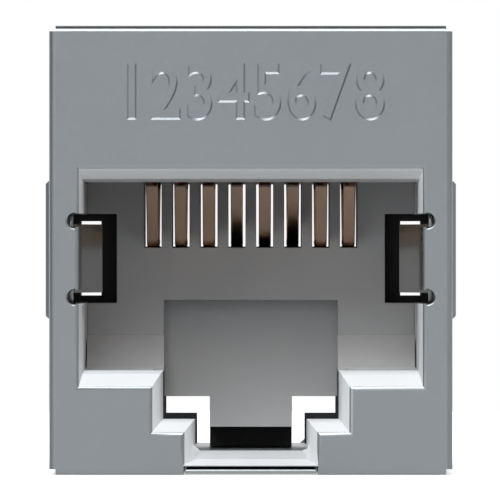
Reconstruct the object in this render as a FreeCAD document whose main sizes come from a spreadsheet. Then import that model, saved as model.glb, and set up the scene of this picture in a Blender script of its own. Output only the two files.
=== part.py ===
import FreeCAD, Part
import math
import os
import Sketcher

# Inline coupler for network patch cords: two die-cast half shells that meet at mid-length, each with one
# eight-way jack, and the wiring board, contacts and ground springs that they close in.
# Frame: +X to the right seen from the front port, the front face at -Y, +Z up, origin under the middle.

# Driving sizes in millimetres. Heights are above the bottom face, depths are behind the front face.
SIZES = {
    # Half shells
    "body_length": 33.0,
    "body_width": 14.46,
    "body_height": 16.1,
    "side_wall": 1.23,
    "corner_step_width": 0.23,
    "corner_step_height": 0.2,
    "face_round": 0.23,
    "parting_gap": 0.04,
    "parting_chamfer": 0.09,
    "front_wall": 1.2,
    "roof_wall": 0.9,
    "rail_proud": 0.13,
    "rail_bottom": 5.6,
    "rail_height": 4.93,
    "rail_setback": 1.0,
    "rail_chamfer": 0.1,
    # Port opening and the latch slot under it
    "port_floor": 3.74,
    "port_height": 6.76,
    "latch_wide": 6.3,
    "latch_wide_floor": 2.0,
    "latch_narrow": 4.0,
    "latch_floor": 0.87,
    "latch_relief": 0.35,
    "lead_in_depth": 0.5,
    "lead_in_crown": 0.05,
    "lead_in_side": 0.21,
    "lead_in_top": 0.55,
    "lead_in_floor": 0.65,
    "lead_in_latch_side": 0.45,
    "lead_in_latch_floor": 0.54,
    "latch_lip_height": 0.55,
    "latch_lip_slope": 0.22,
    # Locating keys on one side of the parting face, keyways on the other
    "key_width": 1.4,
    "key_height": 0.5,
    "key_length": 2.0,
    "key_clearance": 0.03,
    # Side channels that hold the ground springs
    "channel_bottom": 6.14,
    "channel_height": 3.23,
    "channel_depth": 0.57,
    "lip_thickness": 0.45,
    "notch_height": 0.49,
    # Ground springs
    "spring_thickness": 0.15,
    "spring_height": 2.46,
    "spring_head_length": 0.5,
    "spring_seat_length": 0.7,
    "spring_reach": 0.68,
    "spring_apex_depth": 6.6,
    "spring_return_depth": 9.8,
    "spring_apex_round": 1.2,
    "spring_clearance": 0.05,
    "spring_head_clearance": 0.065,
    # Jack inserts
    "fit_clearance": 0.05,
    "port_depth": 11.0,
    "back_wall": 1.8,
    "tray_height": 1.7,
    "ramp_height": 1.24,
    "ramp_run": 1.4,
    "window_reach": 1.13,
    "scoop_top": 6.24,
    "scoop_recess": 1.2,
    "scoop_toe": 0.4,
    "scoop_bottom": 2.75,
    "tongue_width": 2.98,
    "tongue_bottom": 1.64,
    # Centre block
    "slot_reach": 0.56,
    "slot_clearance": 0.13,
    "wing_clearance": 0.02,
    "sill_clearance": 0.01,
    # Contacts
    "contact_pitch": 1.016,
    "contact_width": 0.44,
    "contact_thickness": 0.25,
    "contact_slot_width": 0.62,
    "contact_tip_height": 8.32,
    "contact_tip_inset": 0.3,
    "contact_4_tip_inset": 2.8,
    "contact_5_tip_inset": 1.15,
    "contact_6_tip_inset": 3.4,
    "contact_tip_clearance": 0.05,
    "comb_lip": 0.4,
    "comb_relief": 0.8,
    "contact_nose_depth": 2.7,
    "contact_run_rise": 1.02,
    "contact_nose_drop": 0.97,
    "contact_bend": 0.2,
    "contact_web": 0.36,
    "far_row_inset": 0.14,
    "row_spacing": 2.54,
    "tail_clearance": 1.1,
    # Wiring board
    "board_setback": 4.0,
    "board_side_clearance": 0.15,
    "board_thickness": 1.2,
    "board_ledge": 1.0,
    "board_hole": 0.7,
    # Tie plate under the body
    "plate_width": 4.72,
    "plate_thickness": 0.18,
    "plate_lift": 0.03,
    "plate_setback": 0.2,
    "plate_corner": 0.1,
    "groove_ceiling": 0.3,
    "pad_width": 1.6,
    "pad_length": 1.0,
    "pad_height": 0.3,
    "pad_setback": 7.0,
}

CONTACTS = 8
LONG_ARMS = (4, 5, 6)
# Places, lengths and volumes nearer than this are the same.
SAME = 1e-6
HALF_TURN = FreeCAD.Placement(FreeCAD.Vector(0, 0, 0), FreeCAD.Rotation(FreeCAD.Vector(0, 0, 1), 180))

# Places worked out from the driving sizes
HALF_LENGTH = "Dim.body_length / 2"
HALF_WIDTH = "Dim.body_width / 2"
PARTING_DEPTH = "((Dim.body_length - Dim.parting_gap) / 2)"
PORT_SIDE = f"({HALF_WIDTH} - Dim.side_wall)"
LATCH_SIDE = "Dim.latch_wide / 2"
LATCH_ROOM_SIDE = f"({LATCH_SIDE} + Dim.latch_relief)"
PORT_TOP = "(Dim.port_floor + Dim.port_height)"
BOARD_BOTTOM = f"({PORT_TOP} + Dim.tray_height)"
BOARD_TOP = f"({BOARD_BOTTOM} + Dim.board_thickness)"
ROOM_SHOULDER = f"({BOARD_TOP} + Dim.fit_clearance)"
ROOM_TOP = "(Dim.body_height - Dim.roof_wall)"
ROOM_SIDE = f"({PORT_SIDE} - Dim.board_ledge)"
CHANNEL_TOP = "(Dim.channel_bottom + Dim.channel_height)"
CHANNEL_MIDDLE = "(Dim.channel_bottom + Dim.channel_height / 2)"
CHANNEL_SIDE = f"({PORT_SIDE} + Dim.channel_depth)"
INSERT_SIDE = f"({PORT_SIDE} - Dim.fit_clearance)"
INSERT_FLOOR = "(Dim.port_floor + Dim.fit_clearance)"
INSERT_BACK = "(Dim.port_depth + Dim.back_wall)"
CONTACT_RUN = f"({PORT_TOP} + Dim.contact_run_rise)"
TIP_BOTTOM = "(Dim.contact_tip_height - Dim.contact_thickness / 2)"
COMB_BOTTOM = f"({TIP_BOTTOM} - Dim.contact_tip_clearance)"
FAR_ROW_DEPTH = "(Dim.port_depth + Dim.far_row_inset)"
NEAR_ROW_DEPTH = f"({FAR_ROW_DEPTH} - Dim.row_spacing)"


def main():
    doc = FreeCAD.newDocument("inline_coupler")
    fill_sheet(doc)
    pieces = [
        half_shell(doc, "front_shell"),
        turned(half_shell(doc, "rear_shell")),
        jack_insert(doc, "front_jack_insert"),
        turned(jack_insert(doc, "rear_jack_insert")),
        centre_block(doc, "centre_block"),
        circuit_board(doc, "circuit_board"),
        tie_plate(doc, "tie_plate"),
        ground_spring(doc, "right_ground_spring"),
        turned(ground_spring(doc, "left_ground_spring")),
    ]
    for pin in range(1, CONTACTS + 1):
        pieces.append(contact(doc, f"front_contact_{pin}", pin))
        pieces.append(turned(contact(doc, f"rear_contact_{pin}", pin)))
    doc.recompute()
    write_parts(doc, pieces)


def fill_sheet(doc):
    sheet = doc.addObject("Spreadsheet::Sheet", "Dim")
    for row, (name, value) in enumerate(SIZES.items(), 1):
        sheet.set(f"A{row}", name)
        sheet.set(f"B{row}", str(value))
        sheet.setAlias(f"B{row}", name)
    doc.recompute()


def turned(body):
    """The same piece for the rear port: half a turn about the vertical axis."""
    body.Placement = HALF_TURN
    return body


# Sketch and feature helpers
def new_body(doc, label):
    body = doc.addObject("PartDesign::Body", label)
    body.Label = label
    return body


def origin_feature(body, role):
    return next(feature for feature in body.Origin.OriginFeatures if feature.Role == role)


def new_sketch(body, name, plane, offset):
    sketch = body.newObject("Sketcher::SketchObject", name)
    sketch.AttachmentSupport = (origin_feature(body, plane), [""])
    sketch.MapMode = "FlatFace"
    sketch.setExpression("AttachmentOffset.Base.z", offset)
    return sketch


def front_sketch(body, name, depth):
    """Sketch seen from the front, X across and Z up, at a depth behind the front face."""
    return new_sketch(body, name, "XZ_Plane", f"{HALF_LENGTH} - ({depth})")


def side_sketch(body, name, across="0"):
    """Sketch seen from the right, Y across and Z up, at a distance from the middle plane."""
    return new_sketch(body, name, "YZ_Plane", across)


def plan_sketch(body, name, height):
    """Sketch seen from above, X across and Y up, at a height."""
    return new_sketch(body, name, "XY_Plane", height)


def behind_face(depth):
    return f"({depth} - {HALF_LENGTH})"


def hold_point(sketch, geometry, point, place, start):
    """Ties one point of a sketch to a pair of expressions."""
    for kind, expression, value in zip(("DistanceX", "DistanceY"), place, (start.x, start.y)):
        index = sketch.addConstraint(Sketcher.Constraint(kind, -1, 1, geometry, point, value))
        sketch.setExpression(f"Constraints[{index}]", expression)


def polygon(sketch, corners):
    """Closed outline with every corner held by expressions, which the solver moves there from a circle."""
    first = sketch.GeometryCount
    count = len(corners)
    turns = [2 * math.pi * n / count for n in range(count)]
    starts = [FreeCAD.Vector(math.cos(turn), math.sin(turn), 0) for turn in turns]
    for n in range(count):
        sketch.addGeometry(Part.LineSegment(starts[n], starts[(n + 1) % count]), False)
    for n in range(count):
        sketch.addConstraint(Sketcher.Constraint("Coincident", first + n, 2, first + (n + 1) % count, 1))
    for n in range(count):
        hold_point(sketch, first + n, 1, corners[n], starts[n])


def rectangle(sketch, low, high):
    polygon(sketch, [low, (high[0], low[1]), high, (low[0], high[1])])


def circle(sketch, centre, diameter):
    start = FreeCAD.Vector(0, 0, 0)
    index = sketch.addGeometry(Part.Circle(start, FreeCAD.Vector(0, 0, 1), 1), False)
    hold_point(sketch, index, 3, centre, start)
    size = sketch.addConstraint(Sketcher.Constraint("Diameter", index, 2))
    sketch.setExpression(f"Constraints[{size}]", diameter)


def both_sides(half):
    """Closes a right-hand outline, given from the bottom up, with its mirror image."""
    return half + [(f"-({x})", z) for x, z in reversed(half)]


def settle(body, feature, volume_before):
    """Recomputes and makes sure that the feature added or removed material."""
    body.Document.recompute()
    if abs(body.Shape.Volume - volume_before) < SAME:
        raise RuntimeError(f"{body.Label}: {feature.Label} changes nothing")
    return feature


def volume_now(body):
    return 0.0 if body.Shape.isNull() else body.Shape.Volume


def extrude(body, kind, name, sketch, length, reverse=False, symmetric=False):
    """Pad or Pocket of a sketch by a length expression."""
    before = volume_now(body)
    feature = body.newObject(f"PartDesign::{kind}", name)
    feature.Profile = sketch
    feature.setExpression("Length", length)
    feature.Reversed = reverse
    feature.SideType = "Symmetric" if symmetric else "One side"
    return settle(body, feature, before)


def dress(body, kind, name, base, chosen, size_property, size):
    """Fillet or Chamfer of the edges of a feature that a test picks."""
    before = volume_now(body)
    edges = [f"Edge{n}" for n, edge in enumerate(base.Shape.Edges, 1) if chosen(edge)]
    if not edges:
        raise RuntimeError(f"{body.Label}: {name} finds no edge")
    feature = body.newObject(f"PartDesign::{kind}", name)
    feature.Base = (base, edges)
    feature.setExpression(size_property, size)
    return settle(body, feature, before)


def lies_at_y(y):
    """Test for an edge that lies in the plane across the body at y."""
    return lambda edge: abs(edge.BoundBox.YMin - y) < SAME and abs(edge.BoundBox.YMax - y) < SAME


# Half shells
def half_shell(doc, label):
    """Die-cast zinc half: walls, port mouth, latch slot, spring channels and parting face."""
    body = new_body(doc, label)
    shell_block(body)
    shell_cavity(body)
    port_mouth(body)
    spring_seats(body)
    parting_keys(body)
    plate_groove(body)
    return body


def shell_block(body):
    """Block with rounded front edges, stepped corners and a raised rail along each side."""
    outline = front_sketch(body, "outline", "0")
    rectangle(outline, (f"-{HALF_WIDTH}", "0"), (HALF_WIDTH, "Dim.body_height"))
    block = extrude(body, "Pad", "block", outline, PARTING_DEPTH, reverse=True)
    front = -SIZES["body_length"] / 2
    rounded = dress(body, "Fillet", "face_rounding", block, lies_at_y(front), "Radius", "Dim.face_round")
    parting = -SIZES["parting_gap"] / 2
    dress(body, "Chamfer", "parting_line", rounded, lies_at_y(parting), "Size", "Dim.parting_chamfer")

    corners = front_sketch(body, "corners", "0")
    step = f"({HALF_WIDTH} - Dim.corner_step_width)"
    for low, high in (
        ("-Dim.corner_step_height", "Dim.corner_step_height"),
        ("Dim.body_height - Dim.corner_step_height", "Dim.body_height + Dim.corner_step_height"),
    ):
        rectangle(corners, (step, low), (f"{HALF_WIDTH} + Dim.corner_step_width", high))
        rectangle(corners, (f"-{HALF_WIDTH} - Dim.corner_step_width", low), (f"-{step}", high))
    extrude(body, "Pocket", "corner_steps", corners, PARTING_DEPTH)

    rails = front_sketch(body, "rails", "Dim.rail_setback")
    rail_top = "Dim.rail_bottom + Dim.rail_height"
    rail_side = f"({HALF_WIDTH} + Dim.rail_proud)"
    rectangle(rails, (PORT_SIDE, "Dim.rail_bottom"), (rail_side, rail_top))
    rectangle(rails, (f"-{rail_side}", "Dim.rail_bottom"), (f"-{PORT_SIDE}", rail_top))
    rail = extrude(body, "Pad", "side_rails", rails, f"{PARTING_DEPTH} - Dim.rail_setback", reverse=True)
    proud = SIZES["body_width"] / 2 + SIZES["rail_proud"]
    dress(
        body, "Chamfer", "rail_edges", rail,
        lambda edge: min(abs(edge.BoundBox.XMin), abs(edge.BoundBox.XMax)) > proud - SAME
        and edge.BoundBox.YMin < parting - SAME,
        "Size", "Dim.rail_chamfer",
    )


def shell_cavity(body):
    """Room behind the front wall: latch room, port, spring channels, board slot and head room."""
    section = front_sketch(body, "cavity_section", PARTING_DEPTH)
    polygon(section, both_sides([
        (LATCH_ROOM_SIDE, "Dim.latch_floor"),
        (LATCH_ROOM_SIDE, "Dim.port_floor"),
        (PORT_SIDE, "Dim.port_floor"),
        (PORT_SIDE, "Dim.channel_bottom"),
        (CHANNEL_SIDE, "Dim.channel_bottom"),
        (CHANNEL_SIDE, CHANNEL_TOP),
        (PORT_SIDE, CHANNEL_TOP),
        (PORT_SIDE, ROOM_SHOULDER),
        (ROOM_SIDE, ROOM_SHOULDER),
        (ROOM_SIDE, ROOM_TOP),
    ]))
    extrude(body, "Pocket", "cavity", section, f"{PARTING_DEPTH} - Dim.front_wall", reverse=True)


def mouth_outline(share, floor):
    """Stepped port outline down to a floor of the latch slot, let out by a share of the lead-in."""
    latch_side = f"{share} * Dim.lead_in_latch_side"
    latch_drop = f"{share} * Dim.lead_in_latch_floor"
    ledge = f"Dim.port_floor - {share} * Dim.lead_in_floor"
    port_side = f"{PORT_SIDE} + {share} * Dim.lead_in_side"
    return both_sides([
        (f"Dim.latch_narrow / 2 + {latch_side}", floor),
        (f"Dim.latch_narrow / 2 + {latch_side}", f"Dim.latch_wide_floor - {latch_drop}"),
        (f"{LATCH_SIDE} + {latch_side}", f"Dim.latch_wide_floor - {latch_drop}"),
        (f"{LATCH_SIDE} + {latch_side}", ledge),
        (port_side, ledge),
        (port_side, f"{PORT_TOP} + {share} * Dim.lead_in_top"),
    ])


def port_mouth(body):
    """Stepped opening through the front wall, with a crowned lead-in and a lip below the latch slot."""
    opening = front_sketch(body, "mouth", "0")
    polygon(opening, mouth_outline("0", "Dim.latch_floor"))
    extrude(body, "Pocket", "mouth_opening", opening, "Dim.front_wall + Dim.fit_clearance")
    sections = []
    for name, depth, share in (
        ("lead_in_outer", "0", "1"),
        ("lead_in_crown", "Dim.lead_in_depth / 2 - Dim.lead_in_crown", "0.5"),
        ("lead_in_inner", "Dim.lead_in_depth", "0"),
    ):
        sketch = front_sketch(body, name, depth)
        polygon(sketch, mouth_outline(share, f"Dim.latch_lip_height - {share} * Dim.latch_lip_slope"))
        sections.append(sketch)
    before = volume_now(body)
    lead_in = body.newObject("PartDesign::SubtractiveLoft", "lead_in")
    lead_in.Profile = sections[0]
    lead_in.Sections = sections[1:]
    settle(body, lead_in, before)


def spring_seats(body):
    """Opens the spring channels through the front wall, up to a thin lip with two notches on each side."""
    outer = front_sketch(body, "channel_ends", "Dim.lip_thickness")
    notches = front_sketch(body, "notches", "0")
    rounds = front_sketch(body, "notch_ends", "0")
    round_centre = f"({CHANNEL_SIDE} - Dim.notch_height / 2)"
    inside = f"({PORT_SIDE} - Dim.fit_clearance)"
    for side in ("1", "-1"):
        rectangle(
            outer,
            (f"{side} * {inside}", "Dim.channel_bottom"),
            (f"{side} * {CHANNEL_SIDE}", CHANNEL_TOP),
        )
        for middle in (
            "(Dim.channel_bottom + Dim.notch_height / 2)",
            f"({CHANNEL_TOP} - Dim.notch_height / 2)",
        ):
            rectangle(
                notches,
                (f"{side} * {inside}", f"{middle} - Dim.notch_height / 2"),
                (f"{side} * {round_centre}", f"{middle} + Dim.notch_height / 2"),
            )
            circle(rounds, (f"{side} * {round_centre}", middle), "Dim.notch_height")
    extrude(body, "Pocket", "channel_openings", outer, "Dim.front_wall - Dim.lip_thickness")
    extrude(body, "Pocket", "notch_cuts", notches, "Dim.lip_thickness + Dim.fit_clearance")
    extrude(body, "Pocket", "notch_rounds", rounds, "Dim.lip_thickness + Dim.fit_clearance")


def parting_keys(body):
    """Two keys on the right of the parting face and two keyways on the left, so that equal halves mate."""
    keys = front_sketch(body, "keys", PARTING_DEPTH)
    keyways = front_sketch(body, "keyways", PARTING_DEPTH)
    half_width = "Dim.key_width / 2"
    half_height = "Dim.key_height / 2"
    way_width = f"({half_width} + Dim.key_clearance)"
    way_height = f"({half_height} + Dim.key_clearance)"
    for across, height in (
        (f"({LATCH_ROOM_SIDE} + {HALF_WIDTH}) / 2", "Dim.port_floor / 2"),
        (f"({ROOM_SIDE} + {HALF_WIDTH}) / 2", "(Dim.body_height - Dim.roof_wall / 2)"),
    ):
        rectangle(
            keys,
            (f"{across} - {half_width}", f"{height} - {half_height}"),
            (f"{across} + {half_width}", f"{height} + {half_height}"),
        )
        rectangle(
            keyways,
            (f"-{across} - {way_width}", f"{height} - {way_height}"),
            (f"-{across} + {way_width}", f"{height} + {way_height}"),
        )
    extrude(body, "Pocket", "keyway_cuts", keyways, "Dim.key_length + Dim.key_clearance", reverse=True)
    extrude(body, "Pad", "locating_keys", keys, "Dim.key_length", reverse=True)


def plate_groove(body):
    """Shallow groove under the latch slot for the tie plate, with a blind pocket for its pad."""
    groove = front_sketch(body, "groove", "0")
    half = "Dim.plate_width / 2 + Dim.fit_clearance"
    rectangle(groove, (f"-({half})", "-Dim.groove_ceiling"), (half, "Dim.groove_ceiling"))
    extrude(body, "Pocket", "plate_groove", groove, PARTING_DEPTH)
    pocket = plan_sketch(body, "pad_outline", "Dim.groove_ceiling")
    half = "(Dim.pad_width / 2 + Dim.fit_clearance)"
    near = behind_face("(Dim.pad_setback - Dim.fit_clearance)")
    far = behind_face("(Dim.pad_setback + Dim.pad_length + Dim.fit_clearance)")
    rectangle(pocket, (f"-{half}", near), (half, far))
    extrude(body, "Pocket", "pad_pocket", pocket, "Dim.pad_height", reverse=True)


# Jack inserts
def jack_insert(doc, label):
    """Moulded insert: back wall with contact comb, floor ramps, latch scoop and contact tray."""
    body = new_body(doc, label)
    latch_scoop(body)
    insert_walls(body)
    contact_slots(body)
    return body


def latch_scoop(body):
    """Curved block that closes the latch room, narrowed to a tongue at its foot."""
    outline = front_sketch(body, "scoop_outline", "Dim.port_depth - Dim.scoop_toe")
    tongue = "Dim.tongue_width / 2"
    polygon(outline, both_sides([
        (tongue, "Dim.tongue_bottom"),
        (tongue, "Dim.scoop_bottom"),
        (LATCH_SIDE, "Dim.scoop_bottom"),
        (LATCH_SIDE, "Dim.scoop_top"),
    ]))
    extrude(body, "Pad", "scoop_block", outline, "Dim.back_wall + Dim.scoop_toe", reverse=True)
    # The hollow is upright at the top of the scoop and leans forward to the toe.
    before = volume_now(body)
    drop = "(Dim.scoop_top - Dim.tongue_bottom)"
    lean = "(Dim.scoop_recess + Dim.scoop_toe)"
    radius = f"(({drop} * {drop} + {lean} * {lean}) / (2 * {lean}))"
    hollow = body.newObject("PartDesign::SubtractiveCylinder", "scoop_hollow")
    hollow.AttachmentSupport = (origin_feature(body, "YZ_Plane"), [""])
    hollow.MapMode = "FlatFace"
    hollow.setExpression("Radius", radius)
    hollow.setExpression("Height", f"2 * {PORT_SIDE}")
    hollow.setExpression(
        "AttachmentOffset.Base.x", behind_face(f"Dim.port_depth + Dim.scoop_recess - {radius}")
    )
    hollow.setExpression("AttachmentOffset.Base.y", "Dim.scoop_top")
    hollow.setExpression("AttachmentOffset.Base.z", f"-{PORT_SIDE}")
    settle(body, hollow, before)


def insert_walls(body):
    """Back wall with a window for each ground spring, the floor ramps and the contact tray."""
    wall = front_sketch(body, "wall_outline", "Dim.port_depth")
    window = f"({PORT_SIDE} - Dim.window_reach)"
    polygon(wall, [
        (LATCH_SIDE, "Dim.scoop_top"),
        (LATCH_SIDE, INSERT_FLOOR),
        (INSERT_SIDE, INSERT_FLOOR),
        (INSERT_SIDE, "Dim.channel_bottom"),
        (window, "Dim.channel_bottom"),
        (window, CHANNEL_TOP),
        (INSERT_SIDE, CHANNEL_TOP),
        (INSERT_SIDE, BOARD_BOTTOM),
        (f"-{INSERT_SIDE}", BOARD_BOTTOM),
        (f"-{INSERT_SIDE}", CHANNEL_TOP),
        (f"-{window}", CHANNEL_TOP),
        (f"-{window}", "Dim.channel_bottom"),
        (f"-{INSERT_SIDE}", "Dim.channel_bottom"),
        (f"-{INSERT_SIDE}", INSERT_FLOOR),
        (f"-{LATCH_SIDE}", INSERT_FLOOR),
        (f"-{LATCH_SIDE}", "Dim.scoop_top"),
    ])
    extrude(body, "Pad", "back_wall", wall, "Dim.back_wall", reverse=True)

    ramp_width = f"({INSERT_SIDE} - {LATCH_SIDE})"
    for name, side in (("right_ramp", "1"), ("left_ramp", "-1")):
        ramp = side_sketch(body, name, f"{side} * ({INSERT_SIDE} + {LATCH_SIDE}) / 2")
        polygon(ramp, [
            (behind_face("(Dim.port_depth - Dim.ramp_run)"), INSERT_FLOOR),
            (behind_face("Dim.port_depth"), INSERT_FLOOR),
            (behind_face("Dim.port_depth"), "Dim.port_floor + Dim.ramp_height"),
        ])
        extrude(body, "Pad", f"{name}_block", ramp, ramp_width, symmetric=True)

    tray_front = "(Dim.front_wall + Dim.fit_clearance)"
    tray = front_sketch(body, "tray_outline", tray_front)
    rectangle(tray, (f"-{INSERT_SIDE}", PORT_TOP), (INSERT_SIDE, BOARD_BOTTOM))
    extrude(body, "Pad", "contact_tray", tray, f"Dim.port_depth - {tray_front}", reverse=True)


def contact_slots(body):
    """One slot for each contact: groove on the tray, gap at the bend, comb in the back wall behind a lip."""
    first = f"-{(CONTACTS - 1) / 2} * Dim.contact_pitch"
    slot = side_sketch(body, "contact_slot", first)
    half = "Dim.contact_thickness / 2 + Dim.fit_clearance"
    web_top = f"{CONTACT_RUN} - ({half})"
    web_bottom = f"{web_top} - Dim.contact_web"
    web_front = f"Dim.contact_nose_depth + 2 * ({half})"
    ahead = f"Dim.contact_nose_depth - 2 * ({half})"
    run_end = f"{FAR_ROW_DEPTH} + 2 * ({half})"
    below_tray = f"{PORT_TOP} - Dim.fit_clearance"
    above_tray = f"{BOARD_BOTTOM} + Dim.fit_clearance"
    past_wall = f"{INSERT_BACK} + Dim.fit_clearance"
    before_wall = "Dim.port_depth - Dim.fit_clearance"
    behind_lip = "Dim.port_depth + Dim.comb_lip"
    relief_bottom = f"{COMB_BOTTOM} - Dim.comb_relief"
    polygon(slot, [
        (behind_face(past_wall), relief_bottom),
        (behind_face(behind_lip), relief_bottom),
        (behind_face(behind_lip), COMB_BOTTOM),
        (behind_face(before_wall), COMB_BOTTOM),
        (behind_face(before_wall), below_tray),
        (behind_face(ahead), below_tray),
        (behind_face(ahead), above_tray),
        (behind_face(run_end), above_tray),
        (behind_face(run_end), web_top),
        (behind_face(web_front), web_top),
        (behind_face(web_front), web_bottom),
        (behind_face(past_wall), web_bottom),
    ])
    cut = extrude(body, "Pocket", "contact_cut", slot, "Dim.contact_slot_width", symmetric=True)
    before = volume_now(body)
    comb = body.newObject("PartDesign::LinearPattern", "contact_comb")
    comb.Originals = [cut]
    comb.Direction = (origin_feature(body, "X_Axis"), [""])
    comb.setExpression("Length", f"{CONTACTS - 1} * Dim.contact_pitch")
    comb.Occurrences = CONTACTS
    body.Tip = comb
    settle(body, comb, before)


# Pieces shared by the two ports
def centre_block(doc, label):
    """Spacer between the inserts, hollow behind the combs, with slotted wings that carry the springs."""
    body = new_body(doc, label)
    back = f"({INSERT_BACK} + Dim.fit_clearance)"
    outline = front_sketch(body, "block_outline", back)
    slot_side = f"({PORT_SIDE} - Dim.slot_reach)"
    slot_half = "(Dim.spring_height / 2 + Dim.slot_clearance)"
    rib = "Dim.tongue_width / 2"
    wing_side = f"({CHANNEL_SIDE} - Dim.wing_clearance)"
    wing_bottom = "(Dim.channel_bottom + Dim.wing_clearance)"
    wing_top = f"({CHANNEL_TOP} - Dim.wing_clearance)"
    polygon(outline, both_sides([
        (rib, "Dim.latch_floor + Dim.fit_clearance"),
        (rib, "Dim.scoop_bottom"),
        (LATCH_SIDE, "Dim.scoop_bottom"),
        (LATCH_SIDE, INSERT_FLOOR),
        (INSERT_SIDE, INSERT_FLOOR),
        (INSERT_SIDE, wing_bottom),
        (wing_side, wing_bottom),
        (wing_side, f"{CHANNEL_MIDDLE} - {slot_half}"),
        (slot_side, f"{CHANNEL_MIDDLE} - {slot_half}"),
        (slot_side, f"{CHANNEL_MIDDLE} + {slot_half}"),
        (wing_side, f"{CHANNEL_MIDDLE} + {slot_half}"),
        (wing_side, wing_top),
        (INSERT_SIDE, wing_top),
        (INSERT_SIDE, BOARD_BOTTOM),
    ]))
    extrude(body, "Pad", "block", outline, f"Dim.body_length - 2 * {back}", reverse=True)
    window = front_sketch(body, "window", back)
    window_side = f"({CONTACTS / 2} * Dim.contact_pitch)"
    sill = f"{TIP_BOTTOM} - Dim.sill_clearance"
    rectangle(window, (f"-{window_side}", sill), (window_side, f"{PORT_TOP} + Dim.fit_clearance"))
    extrude(body, "Pocket", "contact_window", window, f"Dim.body_length - 2 * {back}")
    return body


def row_depth(pin):
    """Odd pins have their tails in the near row of board holes, even pins in the far row."""
    return NEAR_ROW_DEPTH if pin % 2 else FAR_ROW_DEPTH


def pin_across(pin):
    return f"({pin - (CONTACTS + 1) / 2} * Dim.contact_pitch)"


def tip_depth(pin):
    """The arms of three middle pins are flatter and run on past the comb."""
    inset = f"contact_{pin}_tip_inset" if pin in LONG_ARMS else "contact_tip_inset"
    return f"(Dim.port_depth + Dim.{inset})"


def circuit_board(doc, label):
    """Wiring board on the two trays, with a staggered double row of holes for each jack."""
    body = new_body(doc, label)
    outline = plan_sketch(body, "board_outline", BOARD_BOTTOM)
    corner = (f"({PORT_SIDE} - Dim.board_side_clearance)", f"({HALF_LENGTH} - Dim.board_setback)")
    rectangle(outline, (f"-{corner[0]}", f"-{corner[1]}"), corner)
    extrude(body, "Pad", "board", outline, "Dim.board_thickness")
    holes = plan_sketch(body, "holes", BOARD_TOP)
    for pin in range(1, CONTACTS + 1):
        along = behind_face(row_depth(pin))
        circle(holes, (pin_across(pin), along), "Dim.board_hole")
        circle(holes, (f"-{pin_across(pin)}", f"-{along}"), "Dim.board_hole")
    extrude(body, "Pocket", "contact_holes", holes, "Dim.board_thickness")
    return body


def tie_plate(doc, label):
    """Thin stamped plate in the bottom grooves that ties the halves by two pressed pads."""
    body = new_body(doc, label)
    outline = plan_sketch(body, "plate_outline", "Dim.plate_lift")
    corner = ("Dim.plate_width / 2", f"({HALF_LENGTH} - Dim.plate_setback)")
    rectangle(outline, (f"-{corner[0]}", f"-{corner[1]}"), corner)
    plate = extrude(body, "Pad", "plate", outline, "Dim.plate_thickness")
    dress(
        body, "Fillet", "plate_corners", plate,
        lambda edge: edge.BoundBox.ZLength > SIZES["plate_thickness"] - SAME,
        "Radius", "Dim.plate_corner",
    )
    pads = plan_sketch(body, "pad_outlines", "Dim.plate_lift + Dim.plate_thickness")
    for side in ("1", "-1"):
        rectangle(
            pads,
            ("-Dim.pad_width / 2", f"{side} * {behind_face('Dim.pad_setback')}"),
            ("Dim.pad_width / 2", f"{side} * {behind_face('(Dim.pad_setback + Dim.pad_length)')}"),
        )
    extrude(body, "Pad", "pressed_pads", pads, "Dim.pad_height")
    return body


def ground_spring(doc, label):
    """Stamped strip along one side wall that bows into both ports, with a wide head behind each lip."""
    body = new_body(doc, label)
    outer = f"({CHANNEL_SIDE} - Dim.spring_clearance)"
    apex = f"({PORT_SIDE} - Dim.spring_reach + Dim.spring_thickness)"
    end = "(Dim.lip_thickness + Dim.spring_clearance)"
    front_half = [
        (outer, behind_face(end)),
        (outer, behind_face(f"({end} + Dim.spring_seat_length)")),
        (apex, behind_face("Dim.spring_apex_depth")),
        (outer, behind_face("Dim.spring_return_depth")),
    ]
    wall_side = front_half + [(x, f"-{y}") for x, y in reversed(front_half)]
    port_side = [(f"{x} - Dim.spring_thickness", y) for x, y in reversed(wall_side)]
    strip = plan_sketch(body, "strip_outline", CHANNEL_MIDDLE)
    polygon(strip, wall_side + port_side)
    bent = extrude(body, "Pad", "strip", strip, "Dim.spring_height", symmetric=True)
    apex_y = SIZES["spring_apex_depth"] - SIZES["body_length"] / 2
    port_face = SIZES["body_width"] / 2 - SIZES["side_wall"] - SIZES["spring_reach"]

    def at_apex(edge):
        return edge.BoundBox.ZLength > SAME and abs(abs(edge.BoundBox.YMin) + apex_y) < SAME

    hollow = dress(
        body, "Fillet", "apex_hollows", bent,
        lambda edge: at_apex(edge) and edge.BoundBox.XMin > port_face + SAME,
        "Radius", "Dim.spring_apex_round",
    )
    dress(
        body, "Fillet", "apex_crowns", hollow,
        lambda edge: at_apex(edge) and edge.BoundBox.XMin < port_face + SAME,
        "Radius", "Dim.spring_apex_round + Dim.spring_thickness",
    )
    heads = plan_sketch(body, "heads", CHANNEL_MIDDLE)
    for side in ("1", "-1"):
        rectangle(
            heads,
            (f"{outer} - Dim.spring_thickness", f"{side} * {behind_face(end)}"),
            (outer, f"{side} * {behind_face(f'({end} + Dim.spring_head_length)')}"),
        )
    head_height = "Dim.channel_height - 2 * Dim.spring_head_clearance"
    extrude(body, "Pad", "spring_heads", heads, head_height, symmetric=True)
    return body


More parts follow.
